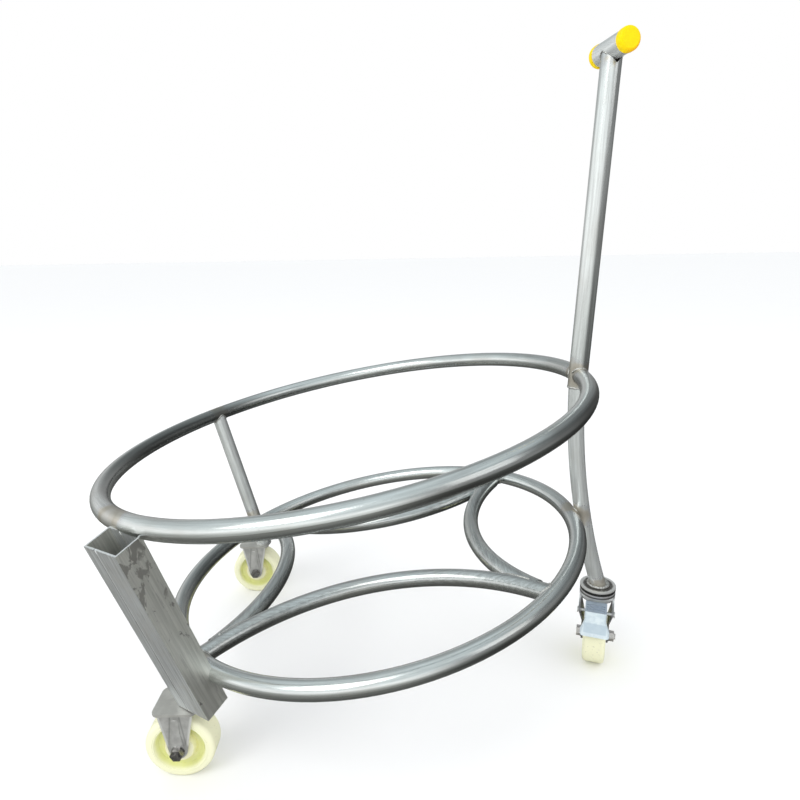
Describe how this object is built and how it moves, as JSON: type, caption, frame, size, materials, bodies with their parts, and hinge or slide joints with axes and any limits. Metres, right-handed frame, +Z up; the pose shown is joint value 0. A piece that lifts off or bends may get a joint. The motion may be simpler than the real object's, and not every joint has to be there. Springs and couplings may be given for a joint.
{
  "type": "drum dolly",
  "caption": "Tubular steel drum dolly with tilted hoops, a low floor grid, an upright T-handle, fixed casters and a braked swivel caster.",
  "frame": {"origin": "middle of the whole object's bounding box in plan, at floor level", "axes": "+Z up from the floor, +X towards the handle and the swivel caster, +Y along the fixed axles, away from the side with the socket tube"},
  "size_m": [0.7, 0.6498, 0.8301],
  "materials": {
    "tube_steel": "drawn steel tube, satin, with weld tints",
    "crossbar_steel": "drawn steel tube, satin",
    "socket_steel": "rectangular steel tube with mill scale and scratches",
    "weld_metal": "rough weld bead",
    "cap_yellow": "soft vinyl, satin",
    "fork_zinc": "pressed sheet steel, zinc plated",
    "bolt_steel": "dull turned steel",
    "washer_zinc": "zinc plated",
    "sleeve_steel": "ground steel",
    "wheel_nylon": "moulded nylon, satin",
    "ball_steel": "polished bearing steel",
    "seal_black": "matt",
    "spring_steel": "blued spring steel",
    "pedal_zinc": "bright blue-white zinc plate"
  },
  "bodies": {
    "frame": {"upper_hoop": "tube_steel", "lower_hoop": "tube_steel", "front_floor_bar": "tube_steel", "back_floor_bar": "tube_steel", "left_floor_bar": "tube_steel", "right_floor_bar": "tube_steel", "socket_tube": "socket_steel", "socket_weld": "weld_metal", "back_leg": "tube_steel", "rear_leg": "tube_steel", "handle_post": "tube_steel", "handle_crossbar": "crossbar_steel", "front_grip_cap": "cap_yellow", "back_grip_cap": "cap_yellow", "front_fork": "fork_zinc", "front_axle_bolt": "bolt_steel", "front_axle_nut": "bolt_steel", "front_axle_sleeve": "sleeve_steel", "front_axle_washers": "washer_zinc", "back_fork": "fork_zinc", "back_axle_bolt": "bolt_steel", "back_axle_nut": "bolt_steel", "back_axle_sleeve": "sleeve_steel", "back_axle_washers": "washer_zinc", "swivel_disc": "fork_zinc", "swivel_foot_weld": "weld_metal", "kingpin": "bolt_steel", "dust_seal": "seal_black"},
    "front_roller": {"front_wheel": "wheel_nylon"},
    "back_roller": {"back_wheel": "wheel_nylon"},
    "swivel": {"swivel_fork": "fork_zinc", "swivel_balls": "ball_steel", "swivel_axle_bolt": "bolt_steel", "swivel_axle_nut": "bolt_steel", "swivel_axle_sleeve": "sleeve_steel", "swivel_axle_washers": "washer_zinc", "brake_spring": "spring_steel", "brake_pin": "bolt_steel"},
    "swivel_roller": {"swivel_wheel": "wheel_nylon"},
    "pedal": {"brake_pedal": "pedal_zinc"}
  },
  "joints": [
    {"name": "front_wheel_spin", "type": "hinge", "parent": "frame", "child": "front_roller", "pos_m": [-0.21998, -0.196, 0.04], "axis": [0, 1, 0], "continuous": true},
    {"name": "back_wheel_spin", "type": "hinge", "parent": "frame", "child": "back_roller", "pos_m": [-0.21998, 0.196, 0.04], "axis": [0, 1, 0], "continuous": true},
    {"name": "caster_swivel", "type": "hinge", "parent": "frame", "child": "swivel", "pos_m": [0.32502, 0, 0.105], "axis": [0, 0, 1], "continuous": true},
    {"name": "swivel_wheel_spin", "type": "hinge", "parent": "swivel", "child": "swivel_roller", "pos_m": [0.32016, -0.01313, 0.04], "axis": [0.9379, -0.3469, 0], "continuous": true},
    {"name": "brake_press", "type": "hinge", "parent": "swivel", "child": "pedal", "pos_m": [0.31461, -0.02814, 0.0845], "axis": [0.9379, -0.3469, 0], "range_deg": [0, 7]}
  ]
}
